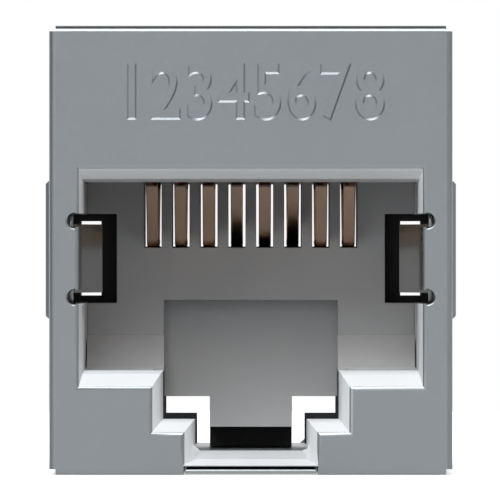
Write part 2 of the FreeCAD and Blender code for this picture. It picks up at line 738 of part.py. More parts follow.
def contact(doc, label, pin):
    """Contact strip: tail through the board, run forward on the tray, bend, and arm back to the comb."""
    body = new_body(doc, label)
    half = "Dim.contact_thickness / 2"
    tail = row_depth(pin)
    tail_top = f"{ROOM_TOP} - Dim.tail_clearance"
    nose_height = f"({CONTACT_RUN} - Dim.contact_nose_drop)"
    arm_length = f"({tip_depth(pin)} - Dim.contact_nose_depth)"
    slope = f"(({nose_height} - Dim.contact_tip_height) / {arm_length})"
    upright = f"({half} * sqrt(1 + {slope} * {slope}))"
    outline = side_sketch(body, "contact_outline", pin_across(pin))
    polygon(outline, [
        (behind_face(f"{tail} - {half}"), tail_top),
        (behind_face(f"{tail} + {half}"), tail_top),
        (behind_face(f"{tail} + {half}"), f"{CONTACT_RUN} - {half}"),
        (behind_face(f"Dim.contact_nose_depth + {half}"), f"{CONTACT_RUN} - {half}"),
        (behind_face(f"Dim.contact_nose_depth + {half}"), f"{nose_height} + {upright} - {slope} * {half}"),
        (behind_face(tip_depth(pin)), f"Dim.contact_tip_height + {upright}"),
        (behind_face(tip_depth(pin)), f"Dim.contact_tip_height - {upright}"),
        (behind_face(f"Dim.contact_nose_depth - {half}"), f"{nose_height} - {upright} + {slope} * {half}"),
        (behind_face(f"Dim.contact_nose_depth - {half}"), f"{CONTACT_RUN} + {half}"),
        (behind_face(f"{tail} - {half}"), f"{CONTACT_RUN} + {half}"),
    ])
    strip = extrude(body, "Pad", "bent_strip", outline, "Dim.contact_width", symmetric=True)
    under_tail, inside_nose, outside_nose = contact_bends()
    tail_bend = dress(body, "Fillet", "tail_bend", strip, under_tail, "Radius", "Dim.contact_thickness")
    inner = dress(body, "Fillet", "nose_hollows", tail_bend, inside_nose, "Radius", "Dim.contact_bend")
    outer_bend = "Dim.contact_bend + Dim.contact_thickness"
    dress(body, "Fillet", "nose_crowns", inner, outside_nose, "Radius", outer_bend)
    return body


def contact_bends():
    """Tests that pick the edges across a contact strip: under its tail, inside its nose and outside it."""
    half = SIZES["contact_thickness"] / 2
    run = SIZES["port_floor"] + SIZES["port_height"] + SIZES["contact_run_rise"]
    nose = SIZES["contact_nose_depth"] - SIZES["body_length"] / 2

    def across(box):
        return box.XLength > SAME and box.YLength < SAME and box.ZLength < SAME

    def under_tail(edge):
        box = edge.BoundBox
        return across(box) and box.YMin > nose + half + SAME and abs(box.ZMin - run + half) < SAME

    def inside_nose(edge):
        return across(edge.BoundBox) and abs(edge.BoundBox.YMin - nose - half) < SAME

    def outside_nose(edge):
        return across(edge.BoundBox) and abs(edge.BoundBox.YMin - nose + half) < SAME

    return under_tail, inside_nose, outside_nose


# Writing
def write_parts(doc, pieces):
    """Checks every object and sub-part, then writes one file for each."""
    for item in doc.Objects:
        if "Invalid" in item.State or "Error" in item.State:
            raise RuntimeError(f"{item.Label} is {item.State}")
    for piece in pieces:
        if piece.Shape.isNull() or not piece.Shape.isValid() or len(piece.Shape.Solids) != 1:
            raise RuntimeError(f"{piece.Label} is not one valid solid")
    os.makedirs("parts", exist_ok=True)
    for piece in pieces:
        piece.Shape.exportStep(f"parts/{piece.Label}.step")


if __name__ == "__main__":
    main()
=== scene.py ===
import math

import bmesh
import bpy
from mathutils import Matrix, Vector


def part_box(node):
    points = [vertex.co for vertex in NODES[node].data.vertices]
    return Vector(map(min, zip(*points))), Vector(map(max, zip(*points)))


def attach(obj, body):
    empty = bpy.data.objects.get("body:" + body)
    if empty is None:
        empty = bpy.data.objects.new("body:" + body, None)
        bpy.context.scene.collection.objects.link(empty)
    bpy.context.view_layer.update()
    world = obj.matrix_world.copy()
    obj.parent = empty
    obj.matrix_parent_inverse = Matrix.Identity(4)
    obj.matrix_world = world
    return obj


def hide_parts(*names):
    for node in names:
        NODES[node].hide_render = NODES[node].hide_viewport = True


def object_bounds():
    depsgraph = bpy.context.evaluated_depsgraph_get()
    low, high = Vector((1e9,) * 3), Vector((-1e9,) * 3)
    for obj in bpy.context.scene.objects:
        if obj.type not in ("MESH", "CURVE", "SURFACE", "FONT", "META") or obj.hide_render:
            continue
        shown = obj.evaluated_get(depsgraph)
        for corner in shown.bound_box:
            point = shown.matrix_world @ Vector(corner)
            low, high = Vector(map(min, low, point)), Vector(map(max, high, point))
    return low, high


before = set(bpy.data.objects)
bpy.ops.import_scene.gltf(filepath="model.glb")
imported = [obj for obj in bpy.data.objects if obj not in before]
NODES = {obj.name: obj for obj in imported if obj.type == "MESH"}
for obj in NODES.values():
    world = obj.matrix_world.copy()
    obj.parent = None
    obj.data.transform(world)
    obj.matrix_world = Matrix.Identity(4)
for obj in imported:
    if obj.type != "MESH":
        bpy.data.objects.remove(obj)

bl_info = {
    "name": "Inline coupler finish",
    "version": (1, 0, 0),
    "blender": (4, 5, 0),
    "location": "3D View > Sidebar > Coupler",
    "description": "Finishes the pieces of an inline coupler for network cords and sets up its studio",
    "category": "Object",
}

MM = 0.001
CONTACTS = 8
CAD_LOW, CAD_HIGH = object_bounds()
FRONT_FACE_Y = CAD_LOW.y
# The rear half is the front half, turned about the upright axis
ENDS = {"front": Matrix.Identity(4), "rear": Matrix.Rotation(math.pi, 4, "Z")}

# Clearances of an insert in its port, and of a ground spring's heads in their channels
INSERT_PLAY = 0.05 * MM
HEAD_PLAY = 0.065 * MM
# Port in front of an insert
INSERT_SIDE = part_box("front_jack_insert")[1].x
PORT_SIDE = INSERT_SIDE + INSERT_PLAY
PORT_FLOOR = 3.74 * MM
PORT_TOP = PORT_FLOOR + 6.76 * MM
PORT_DEPTH = 11.0 * MM
# Box round the port's lead-in
LEAD_IN_SIDE = PORT_SIDE + 0.3 * MM
LEAD_IN_BOTTOM = 0.3 * MM
LEAD_IN_TOP = PORT_TOP + 0.7 * MM
LEAD_IN_DEPTH = 0.5 * MM
# Latch slot under the port, and the wider room behind its front wall
LATCH_SIDE = 3.15 * MM
LATCH_ROOM = LATCH_SIDE + 0.33 * MM
LATCH_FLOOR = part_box("centre_block")[0].z - INSERT_PLAY
# Floor ramps of the insert
RAMP_TOE = PORT_DEPTH - 1.4 * MM
RAMP_FOOT = PORT_FLOOR + INSERT_PLAY
RAMP_TOP = PORT_FLOOR + 1.24 * MM
# Top of the beads on the port's floor
BEAD_TOP = PORT_FLOOR + 0.06 * MM
# Channels for the ground springs in the port's side walls, which the lining leaves free
SPRING_LOW, SPRING_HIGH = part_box("left_ground_spring")
CHANNEL_BOTTOM = SPRING_LOW.z - HEAD_PLAY
CHANNEL_TOP = SPRING_HIGH.z + HEAD_PLAY
# Half heights of a ground spring's strip and of its slot in the centre block
STRIP_HALF = 1.235 * MM
SLOT_HALF = 1.365 * MM
# How far the ribs of the centre block reach below the contact tips
RIB_FOOT = 0.1 * MM
# Radius of the corners that the tie plate comes with
PLATE_CORNER = 0.1 * MM
# How far the floor lies under the coupler, so that the two do not share a plane
FLOOR_PLAY = 0.01 * MM
# Lengths over which a contact's gold gives way to the painted shade on its top, and to tin at its tail
CAP_SHADE_FADE = 0.02 * MM
TINNING_FADE = 0.2 * MM
# Height of the built-in font's digits at size 1
DIGIT_HEIGHT = 0.69

# Corners nearer than this are joined
JOINED = 0.0005 * MM
# Places nearer than this are the same
SAME = 0.001 * MM
# Shortest length of a straight edge
STRAIGHT = 1.0 * MM
# Share of a face's normal in a direction: up to the first it runs along it, from the second it looks there
ALONG = 0.1
TOWARD = 0.97
# Faces that differ by less than this are one flat face
FLAT = math.radians(0.5)
# Angles from which the edges of a port are rounded, an edge is shaded sharp, and other edges are rounded
PORT_EDGE = math.radians(15)
SHARP_EDGE = math.radians(25)
ROUNDED_EDGE = math.radians(35)
# Marks of a half shell's faces: uncovered metal, under a port's lining, or under a bearing of its ground
# springs
BARE = 0
LINED = 1
BEARING = 2


# Colours
def linear(code):
    """Linear colour, with alpha, of an sRGB hex code."""
    shares = [int(code[n:n + 2], 16) / 255 for n in (1, 3, 5)]
    return [s / 12.92 if s <= 0.04045 else ((s + 0.055) / 1.055) ** 2.4 for s in shares] + [1.0]


def toned(colour, share):
    """A share of a colour's brightness."""
    return [part * share for part in colour[:3]] + [1.0]


# Settings
def colour_setting(name, description, code):
    """Setting for a colour, with an sRGB hex code as default."""
    return bpy.props.FloatVectorProperty(
        name=name, description=description, default=linear(code), subtype="COLOR", size=4, min=0, max=1
    )


def length_setting(name, description, millimetres):
    """Setting for a length, with a default in millimetres."""
    return bpy.props.FloatProperty(
        name=name, description=description, default=millimetres * MM, unit="LENGTH", subtype="DISTANCE",
        precision=5, min=0,
    )


def angle_setting(name, description, degrees):
    """Setting for an angle, with a default in degrees."""
    return bpy.props.FloatProperty(
        name=name, description=description, default=math.radians(degrees), subtype="ANGLE"
    )


def light_setting(name, description, radiance):
    """Setting for the radiance of a light."""
    return bpy.props.FloatProperty(name=name, description=description, default=radiance, min=0)


class CouplerColours(bpy.types.PropertyGroup):
    """Colours of the coupler's finishes."""

    casting: colour_setting("Casting", "Satin nickel on the cast half shells", "#787C7E")
    insert: colour_setting("Insert", "Grey moulding compound of the inserts", "#B1B2B3")
    lining: colour_setting("Lining", "Light moulding compound of the port linings", "#CECFD0")
    block: colour_setting("Centre block", "Black moulding compound between the inserts", "#121213")
    contact: colour_setting("Contact", "Gold flash over bronze on the contact arms", "#FFD0A8")
    # Painted shade: the dark colour of the contacts' tops above the gold, standing for the shade there.
    bronze: colour_setting("Bare bronze", "Tarnished strip where the contacts are not plated", "#5A321C")
    tail: colour_setting("Contact tail", "Tin plating where the contacts are soldered", "#C9C9C6")
    spring: colour_setting("Spring", "Bright rolled strip of the ground springs", "#DDDFDE")
    plate: colour_setting("Tie plate", "Stamped plate under the body", "#8E9292")
    mask: colour_setting("Solder mask", "Green mask on the wiring board", "#1E5B37")
    track: colour_setting("Tracks", "Copper tracks seen through the mask", "#3F8A4E")
    laminate: colour_setting("Laminate", "Sawn edges of the wiring board", "#B7A86B")
    floor: colour_setting("Floor", "Seamless paper that the coupler stands on", "#F8F8F8")
    lamp: colour_setting("Lamps", "Light of the studio's lamps and screens", "#F8FAFC")
    backdrop: colour_setting("Backdrop", "White backdrop behind the coupler", "#FFFFFF")


class CouplerSizes(bpy.types.PropertyGroup):
    """Sizes of what is added to the coupler's solids."""

    number_height: length_setting("Number height", "Height of the pin numbers", 1.9)
    number_pitch: length_setting("Number pitch", "Distance from one pin number to the next", 1.22)
    number_middle: length_setting("Number level", "Height of the middle of the pin numbers", 13.63)
    number_wall: length_setting("Number wall", "Width of the engraving's leaning walls", 0.08)
    number_slope: angle_setting("Number slope", "Angle of the engraving's walls to the face", 28)
    number_narrowing: bpy.props.FloatProperty(
        name="Number narrowing", description="Width of the numbers against the font's own", default=0.8,
        min=0.1,
    )
    lining_proud: length_setting("Lining proud", "How far a lining stands out of the casting", 0.004)
    lining_seat: length_setting("Lining seat", "How deep the lining lies in the casting", 0.03)
    lip_lean: length_setting("Lip lean", "How far the lip's upper edge leans out of the port", 0.18)
    mouth_edge: length_setting("Mouth edge", "Rounding of the casting's edge round a port", 0.09)
    lining_edge: length_setting("Lining edge", "Rounding of the lining's edge inside a port", 0.18)
    bead_width: length_setting("Bead width", "Depth of the beads that close the gap round an insert", 0.12)
    bead_drop: length_setting("Bead drop", "How far a floor bead hangs down into the latch slot", 0.08)
    bead_play: length_setting("Bead play", "Distance from a bead to the insert behind it", 0.02)
    plate_reach: length_setting("Plate reach", "How far the tie plate's ends are rolled out", 0.18)
    plate_corner: length_setting("Plate corner", "Radius of the tie plate's corners", 0.04)
    strip_edge: length_setting("Strip edge", "Rounding of the front edge between the spring notches", 0.1)
    notch_edge: length_setting("Notch edge", "Rounding of the spring notches' front edges", 0.1)
    rib_depth: length_setting("Rib depth", "Depth of the ribs under the contact tips", 0.15)
    rib_rise: length_setting("Rib rise", "How far those ribs reach over the contact tips' level", 0.03)
    rib_side: length_setting("Rib side", "Where the ribs outside the ground springs begin", 6.21)
    block_edge: length_setting("Block edge", "Rounding of the centre block's edges", 0.01)
    moulded_edge: length_setting("Moulded edge", "Rounding of the inserts' edges", 0.03)
    wire_edge: length_setting("Contact edge", "Rounding of the contact strips' edges", 0.06)
    stamped_edge: length_setting("Stamped edge", "Rounding of the ground springs' edges", 0.02)
    plate_edge: length_setting("Plate edge", "Rounding of the tie plate's edges", 0.05)
    # Above this height the contact arms are painted dark, as painted shade on their tops.
    plated_top: length_setting("Plated top", "Height up to which the contact arms are gold-plated", 10.33)


class CouplerStudio(bpy.types.PropertyGroup):
    """Light, floor and camera."""

    frame_width: length_setting("Frame width", "Width of the picture at the front face", 17.92)
    camera_height: length_setting("Camera height", "Height of the camera's axis", 8.06)
    camera_across: length_setting("Camera offset", "Distance of the camera's axis left of the middle", 0.03)
    half_angle: angle_setting("Half angle", "Half of the camera's angle of view", 0.64)
    key_light: light_setting("Key lamp", "Radiance of the round soft lamp above the front", 9.0)
    key_height: angle_setting("Key height", "Angle of the key lamp's middle over the floor", 39.7)
    key_side: angle_setting("Key side", "Angle of the key lamp's middle to the left", 10.2)
    key_core: angle_setting("Key core", "Half angle of the key lamp's even middle", 16.5)
    key_edge: angle_setting("Key edge", "Half angle at which the key lamp has faded out", 22.5)
    front_light: light_setting("Front light", "Radiance of the broad screen in front", 1.2)
    front_height: angle_setting("Front height", "Angle of the front screen's middle over the floor", 5.0)
    front_side: angle_setting("Front side", "Angle of the front screen's middle to the left", 24.3)
    front_core: angle_setting("Front core", "Half angle of the front screen's even middle", 5.0)
    front_edge: angle_setting("Front edge", "Half angle at which the front screen has faded out", 53.7)
    right_light: light_setting("Right light", "Radiance of the broad screen at the right", 0.85)
    right_height: angle_setting("Right height", "Angle of the right screen's middle over the floor", 18.3)
    right_side: angle_setting("Right side", "Angle of the right screen's middle to the left", -60.0)
    right_core: angle_setting("Right core", "Half angle of the right screen's even middle", 5.0)
    right_edge: angle_setting("Right edge", "Half angle at which the right screen has faded out", 60.9)
    back_light: light_setting("Back light", "Radiance of the broad screen behind", 1.2)
    back_height: angle_setting("Back height", "Angle of the back screen's middle over the floor", 0.0)
    back_side: angle_setting("Back side", "Angle of the back screen's middle to the left", 180.0)
    back_core: angle_setting("Back core", "Half angle of the back screen's even middle", 10.0)
    back_edge: angle_setting("Back edge", "Half angle at which the back screen has faded out", 95.0)
    room_light: light_setting("Room light", "Radiance of the dim room around", 0.02)
    ceiling_light: light_setting("Ceiling light", "Radiance of the ceiling", 0.1)
    table_light: light_setting("Table light", "Radiance of the light table through its paper", 0.5)
    floor_size: length_setting("Floor size", "Width of the floor", 600.0)


# Nodes
def add_node(tree, kind, settings=None, **inputs):
    """Adds a node. Settings are its own properties, inputs are values or sockets, with _ for a space."""
    node = tree.nodes.new(kind)
    for name, value in (settings or {}).items():
        setattr(node, name, value)
    for name, value in inputs.items():
        socket = node.inputs[int(name[1:]) if name[1:].isdigit() else name.replace("_", " ")]
        if isinstance(value, bpy.types.NodeSocket):
            tree.links.new(value, socket)
        else:
            socket.default_value = value
    return node


def new_material(name):
    """Empty material with its node tree, its surface output and its place in metres."""
    material = bpy.data.materials.new(name)
    material.use_nodes = True
    tree = material.node_tree
    tree.nodes.clear()
    output = add_node(tree, "ShaderNodeOutputMaterial")
    place = add_node(tree, "ShaderNodeTexCoord").outputs["Object"]
    return material, tree, output.inputs["Surface"], place


def per_mm(size):
    """Texture scale for a pattern of a size in millimetres, on coordinates in metres."""
    return 1 / (size * MM)


def pin_places():
    """Middle of each contact of the front port, from left to right."""
    boxes = [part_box(f"front_contact_{pin}") for pin in range(1, CONTACTS + 1)]
    return [(low.x + high.x) / 2 for low, high in boxes]


# Finishes
def nickel_plated_zinc(colours):
    """Zinc, die-cast, blasted and nickel-plated: even satin with a soft sheen and a faint cloudiness."""
    material, tree, surface, place = new_material("nickel_plated_zinc_satin")
    cloud = add_node(tree, "ShaderNodeTexNoise", Vector=place, Scale=per_mm(2.5), Detail=3.0)
    # Blasting leaves pits of about 0.03 mm. They are drawn at 0.09 mm, or they would not show.
    grit = add_node(tree, "ShaderNodeTexNoise", Vector=place, Scale=per_mm(0.09), Detail=2.0)
    tone = add_node(
        tree, "ShaderNodeMix", {"data_type": "RGBA"},
        Factor=cloud.outputs["Fac"], _6=toned(colours.casting, 0.93), _7=colours.casting,
    )
    gloss = add_node(
        tree, "ShaderNodeMapRange", Value=grit.outputs["Fac"],
        From_Min=0.3, From_Max=0.7, To_Min=0.29, To_Max=0.36,
    )
    pits = add_node(tree, "ShaderNodeBump", Height=grit.outputs["Fac"], Strength=0.06, Distance=0.01 * MM)
    shader = add_node(
        tree, "ShaderNodeBsdfPrincipled", Base_Color=tone.outputs[2], Metallic=1.0,
        Roughness=gloss.outputs["Result"], Normal=pits.outputs["Normal"],
    )
    tree.links.new(shader.outputs["BSDF"], surface)
    return material


def moulded_polyester(name, colour, mirror):
    """Glass-filled polyester from an eroded mould: dull, with a fine matt grain and slight flow marks."""
    material, tree, surface, place = new_material(name)
    flow = add_node(
        tree, "ShaderNodeTexNoise", Vector=place, Scale=per_mm(3.0), Detail=2.0, Distortion=0.6
    )
    grain = add_node(tree, "ShaderNodeTexNoise", Vector=place, Scale=per_mm(0.08), Detail=2.0)
    tone = add_node(
        tree, "ShaderNodeMix", {"data_type": "RGBA"},
        Factor=flow.outputs["Fac"], _6=toned(colour, 0.88), _7=colour,
    )
    gloss = add_node(
        tree, "ShaderNodeMapRange", Value=grain.outputs["Fac"],
        From_Min=0.3, From_Max=0.7, To_Min=0.48, To_Max=0.6,
    )
    relief = add_node(tree, "ShaderNodeBump", Height=grain.outputs["Fac"], Strength=0.08, Distance=0.01 * MM)
    shader = add_node(
        tree, "ShaderNodeBsdfPrincipled", Base_Color=tone.outputs[2], IOR=1.57, Specular_IOR_Level=mirror,
        Roughness=gloss.outputs["Result"], Normal=relief.outputs["Normal"],
    )
    tree.links.new(shader.outputs["BSDF"], surface)
    return material


def rolled_strip(name, colour, roughness, spacing, end_shade_tone):
    """Rolled metal strip: bright, with fine lines along its length, and ends painted dark: partly dull
    shear-cut faces, partly painted shade.
    """
    material, tree, surface, place = new_material(name)
    along = add_node(tree, "ShaderNodeMapping", Vector=place, Scale=(1.0, 0.02, 1.0))
    lines = add_node(
        tree, "ShaderNodeTexNoise", Vector=along.outputs["Vector"], Scale=per_mm(spacing), Detail=2.0
    )
    rolled = add_node(
        tree, "ShaderNodeMix", {"data_type": "RGBA"},
        Factor=lines.outputs["Fac"], _6=toned(colour, 0.86), _7=colour,
    )
    # Faces that look along the coupler's length, the strip's ends, are painted darker: painted shade on top
    # of a sheared edge's own dullness.
    looks = add_node(tree, "ShaderNodeTexCoord")
    facing = add_node(tree, "ShaderNodeSeparateXYZ", Vector=looks.outputs["Normal"])
    endways = add_node(tree, "ShaderNodeMath", {"operation": "ABSOLUTE"}, _0=facing.outputs["Y"])
    painted_end_shade = add_node(
        tree, "ShaderNodeMapRange", Value=endways.outputs["Value"], From_Min=0.6, From_Max=0.9
    )
    tone = add_node(
        tree, "ShaderNodeMix", {"data_type": "RGBA"},
        Factor=painted_end_shade.outputs["Result"], _6=rolled.outputs[2], _7=toned(colour, end_shade_tone),
    )
    gloss = add_node(
        tree, "ShaderNodeMapRange", Value=lines.outputs["Fac"], From_Min=0.3, From_Max=0.7,
        To_Min=roughness - 0.05, To_Max=roughness + 0.05,
    )
    relief = add_node(tree, "ShaderNodeBump", Height=lines.outputs["Fac"], Strength=0.08, Distance=0.01 * MM)
    shader = add_node(
        tree, "ShaderNodeBsdfPrincipled", Base_Color=tone.outputs[2], Metallic=1.0,
        Roughness=gloss.outputs["Result"], Normal=relief.outputs["Normal"],
    )
    tree.links.new(shader.outputs["BSDF"], surface)
    return material


def gold_flashed_bronze(colours, plated_top):
    """Bronze strip, rolled, stamped and plated: gold on the arm, painted shade on its top bend, grey tin on
    the tail.
    """
    material, tree, surface, place = new_material("gold_flashed_bronze_strip")
    level = add_node(tree, "ShaderNodeSeparateXYZ", Vector=place)
    # Above the cap level the arm is painted dark: painted shade on its top bend.
    painted_cap_shade = add_node(
        tree, "ShaderNodeMapRange", {"interpolation_type": "SMOOTHSTEP"}, Value=level.outputs["Z"],
        From_Min=plated_top - CAP_SHADE_FADE, From_Max=plated_top + CAP_SHADE_FADE,
    )
    tin_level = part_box("circuit_board")[0].z
    tinned = add_node(
        tree, "ShaderNodeMapRange", {"interpolation_type": "SMOOTHSTEP"}, Value=level.outputs["Z"],
        From_Min=tin_level - TINNING_FADE, From_Max=tin_level,
    )
    along = add_node(tree, "ShaderNodeMapping", Vector=place, Scale=(1.0, 0.03, 0.03))
    # Rolling lines are some 0.01 mm apart. They are drawn at 0.05 mm to show at all.
    lines = add_node(
        tree, "ShaderNodeTexNoise", Vector=along.outputs["Vector"], Scale=per_mm(0.05), Detail=2.0
    )
    gold = add_node(
        tree, "ShaderNodeMix", {"data_type": "RGBA"},
        Factor=lines.outputs["Fac"], _6=toned(colours.contact, 0.85), _7=colours.contact,
    )
    strip = add_node(
        tree, "ShaderNodeMix", {"data_type": "RGBA"},
        Factor=painted_cap_shade.outputs["Result"], _6=gold.outputs[2], _7=colours.bronze,
    )
    tone = add_node(
        tree, "ShaderNodeMix", {"data_type": "RGBA"},
        Factor=tinned.outputs["Result"], _6=strip.outputs[2], _7=colours.tail,
    )
    gloss = add_node(tree, "ShaderNodeMapRange", Value=tinned.outputs["Result"], To_Min=0.24, To_Max=0.5)
    relief = add_node(tree, "ShaderNodeBump", Height=lines.outputs["Fac"], Strength=0.05, Distance=0.01 * MM)
    shader = add_node(
        tree, "ShaderNodeBsdfPrincipled", Base_Color=tone.outputs[2], Metallic=1.0,
        Roughness=gloss.outputs["Result"], Normal=relief.outputs["Normal"],
    )
    tree.links.new(shader.outputs["BSDF"], surface)
    return material


def masked_laminate(colours):
    """Glass-epoxy board under green solder mask: glossy, with tracks that show lighter and sawn edges."""
    material, tree, surface, place = new_material("solder_masked_glass_epoxy")
    first, second = pin_places()[:2]
    pitch = second - first
    axes = add_node(tree, "ShaderNodeSeparateXYZ", Vector=place)
    turns = add_node(tree, "ShaderNodeMath", {"operation": "PINGPONG"}, _0=axes.outputs["X"], _1=pitch / 2)
    # The tracks run over the contacts and are 0.28 of their pitch wide.
    tracks = add_node(
        tree, "ShaderNodeMath", {"operation": "GREATER_THAN"}, _0=turns.outputs["Value"], _1=pitch * 0.36
    )
    weave = add_node(tree, "ShaderNodeTexNoise", Vector=place, Scale=per_mm(0.4), Detail=2.0)
    mask = add_node(
        tree, "ShaderNodeMix", {"data_type": "RGBA"},
        Factor=tracks.outputs["Value"], _6=colours.mask, _7=colours.track,
    )
    looks = add_node(tree, "ShaderNodeNewGeometry")
    facing = add_node(tree, "ShaderNodeSeparateXYZ", Vector=looks.outputs["Normal"])
    flat = add_node(tree, "ShaderNodeMath", {"operation": "ABSOLUTE"}, _0=facing.outputs["Z"])
    tone = add_node(
        tree, "ShaderNodeMix", {"data_type": "RGBA"},
        Factor=flat.outputs["Value"], _6=colours.laminate, _7=mask.outputs[2],
    )
    relief = add_node(tree, "ShaderNodeBump", Height=weave.outputs["Fac"], Strength=0.05, Distance=0.02 * MM)
    shader = add_node(
        tree, "ShaderNodeBsdfPrincipled", Base_Color=tone.outputs[2], IOR=1.55, Roughness=0.32,
        Normal=relief.outputs["Normal"],
    )
    tree.links.new(shader.outputs["BSDF"], surface)
    return material


def seamless_paper(colours, table_light):
    """Uncoated white paper on a light table: matt, with a faint fibre mottle and light shadows."""
    material, tree, surface, place = new_material("seamless_white_paper")
    fibre = add_node(tree, "ShaderNodeTexNoise", Vector=place, Scale=per_mm(1.5), Detail=4.0)
    tone = add_node(
        tree, "ShaderNodeMix", {"data_type": "RGBA"},
        Factor=fibre.outputs["Fac"], _6=toned(colours.floor, 0.985), _7=colours.floor,
    )
    shader = add_node(
        tree, "ShaderNodeBsdfPrincipled", Base_Color=tone.outputs[2], Roughness=0.95, Specular_IOR_Level=0.2,
        Emission_Color=tone.outputs[2], Emission_Strength=table_light,
    )
    tree.links.new(shader.outputs["BSDF"], surface)
    return material


# Pieces
def new_piece(name, faces):
    """Makes an object from faces, which are used up."""
    mesh = bpy.data.meshes.new(name)
    faces.to_mesh(mesh)
    faces.free()
    piece = bpy.data.objects.new(name, mesh)
    bpy.context.scene.collection.objects.link(piece)
    return piece


def dress(piece, finish):
    """Gives a piece or a node its finish."""
    piece.data.materials.clear()
    piece.data.materials.append(finish)


def shade_evenly(piece):
    """Shades a piece smooth, with even light on its flat faces."""
    for face in piece.data.polygons:
        face.use_smooth = True
    shade = piece.modifiers.new("even_shading", "WEIGHTED_NORMAL")
    shade.keep_sharp = True


def soften(piece, width):
    """Joins split corners, rounds the sharp edges and shades the rest smooth."""
    weld = piece.modifiers.new("join_corners", "WELD")
    weld.merge_threshold = JOINED
    flat = piece.modifiers.new("merge_flat_faces", "DECIMATE")
    flat.decimate_type = "DISSOLVE"
    flat.angle_limit = FLAT
    edge = piece.modifiers.new("edge_rounding", "BEVEL")
    edge.width = width
    edge.segments = 2
    edge.limit_method = "ANGLE"
    edge.angle_limit = ROUNDED_EDGE
    edge.use_clamp_overlap = False
    shade_evenly(piece)


def node_faces(name):
    """The faces of a node, with split corners joined and flat faces merged."""
    source = NODES[name].data
    mesh = bpy.data.meshes.new(name)
    mesh.from_pydata([v.co for v in source.vertices], [], [p.vertices[:] for p in source.polygons])
    faces = bmesh.new()
    faces.from_mesh(mesh)
    bpy.data.meshes.remove(mesh)
    bmesh.ops.remove_doubles(faces, verts=faces.verts, dist=JOINED)
    bmesh.ops.dissolve_limit(faces, angle_limit=FLAT, verts=faces.verts, edges=faces.edges)
    return faces


def add_box(faces, low, high):
    """Adds a closed box between two corners."""
    low, high = Vector(low), Vector(high)
    size = [abs(length) for length in high - low]
    place = Matrix.Translation((low + high) / 2) @ Matrix.Diagonal((*size, 1))
    bmesh.ops.create_cube(faces, size=1, matrix=place)


# Places on a half shell
def depth_of(place):
    """Depth of a place behind the nearer end face."""
    return CAD_HIGH.y - abs(place.y)


def outwardness(face):
    """1 for a face that looks straight out of its port, 0 for a wall along it."""
    return face.normal.y * math.copysign(1, face.calc_center_median().y)


def on_lining(face):
    """True for a face of a port's lead-in and its lip, and of the port's side walls and floor behind them."""
    middle = face.calc_center_median()
    across = abs(middle.x)
    depth = depth_of(middle)
    outward = outwardness(face)
    if across > PORT_SIDE - SAME and CHANNEL_BOTTOM < middle.z < CHANNEL_TOP:
        return False
    in_mouth = across < LEAD_IN_SIDE and LEAD_IN_BOTTOM < middle.z < LEAD_IN_TOP
    on_lead_in = in_mouth and 0 < depth < LEAD_IN_DEPTH and ALONG < outward < TOWARD
    at_lip = in_mouth and abs(depth - LEAD_IN_DEPTH) < SAME and middle.z < LATCH_FLOOR
    on_lip = at_lip and outward > TOWARD
    on_wall = abs(across - PORT_SIDE) < SAME and abs(face.normal.x) > TOWARD
    on_floor = abs(middle.z - PORT_FLOOR) < SAME and face.normal.z > TOWARD
    return on_lead_in or on_lip or on_wall or on_floor


def on_bearing(face):
    """True for a face of the lead-in between the two spring notches of a side."""
    middle = face.calc_center_median()
    beside_port = PORT_SIDE - SAME < abs(middle.x) < LEAD_IN_SIDE
    in_channel = beside_port and CHANNEL_BOTTOM < middle.z < CHANNEL_TOP
    return in_channel and 0 < depth_of(middle) < LEAD_IN_DEPTH and ALONG < outwardness(face) < TOWARD


def mark_of(face):
    """What a half shell's face carries."""
    if on_lining(face):
        return LINED
    if on_bearing(face):
        return BEARING
    return BARE


def at_depth(edge, depth):
    """True for an edge that lies at one depth behind the nearer end face."""
    return all(abs(depth_of(corner.co) - depth) < SAME for corner in edge.verts)


def on_notch(edge):
    """True for an edge of a spring notch in the front face."""
    return at_depth(edge, 0) and all(
        abs(corner.co.x) > PORT_SIDE and CHANNEL_BOTTOM - SAME < corner.co.z < CHANNEL_TOP + SAME
        for corner in edge.verts
    )


def between_notches(edge):
    """True for the straight front edge between the two spring notches of a side."""
    first, second = edge.verts
    return on_notch(edge) and abs(first.co.x - second.co.x) < SAME and edge.calc_length() > STRAIGHT


def on_mouth(edge):
    """True for an outer edge of a port's lead-in, apart from its lip, where the casting shows."""
    on_lip = all(corner.co.z < LATCH_FLOOR for corner in edge.verts)
    lined = any(face.material_index == LINED for face in edge.link_faces)
    return at_depth(edge, 0) and lined and not on_lip


def inside_mouth(edge):
    """True for an edge, apart from the lip's, where the lining turns into a wall along the port."""
    on_lip = all(corner.co.z < LATCH_FLOOR + SAME for corner in edge.verts)
    lined = any(face.material_index == LINED and outwardness(face) > ALONG for face in edge.link_faces)
    walled = any(abs(outwardness(face)) < ALONG for face in edge.link_faces)
    return at_depth(edge, LEAD_IN_DEPTH) and lined and walled and edge.is_convex and not on_lip


# Half shells
def rounded_shell(name, sizes):
    """Faces of a half shell with its mouth and notch edges rounded and the faced places marked."""
    faces = node_faces(name)
    for face in faces.faces:
        face.material_index = mark_of(face)
    for test, width, mark in (
        (on_mouth, sizes.mouth_edge, BARE),
        (inside_mouth, sizes.lining_edge, LINED),
        (between_notches, sizes.strip_edge, BARE),
        (on_notch, sizes.notch_edge, BARE),
    ):
        edges = [edge for edge in faces.edges if edge.calc_face_angle() > PORT_EDGE and test(edge)]
        bmesh.ops.bevel(
            faces, geom=edges, offset=width, segments=4, profile=0.5, affect="EDGES", material=mark
        )
    return faces


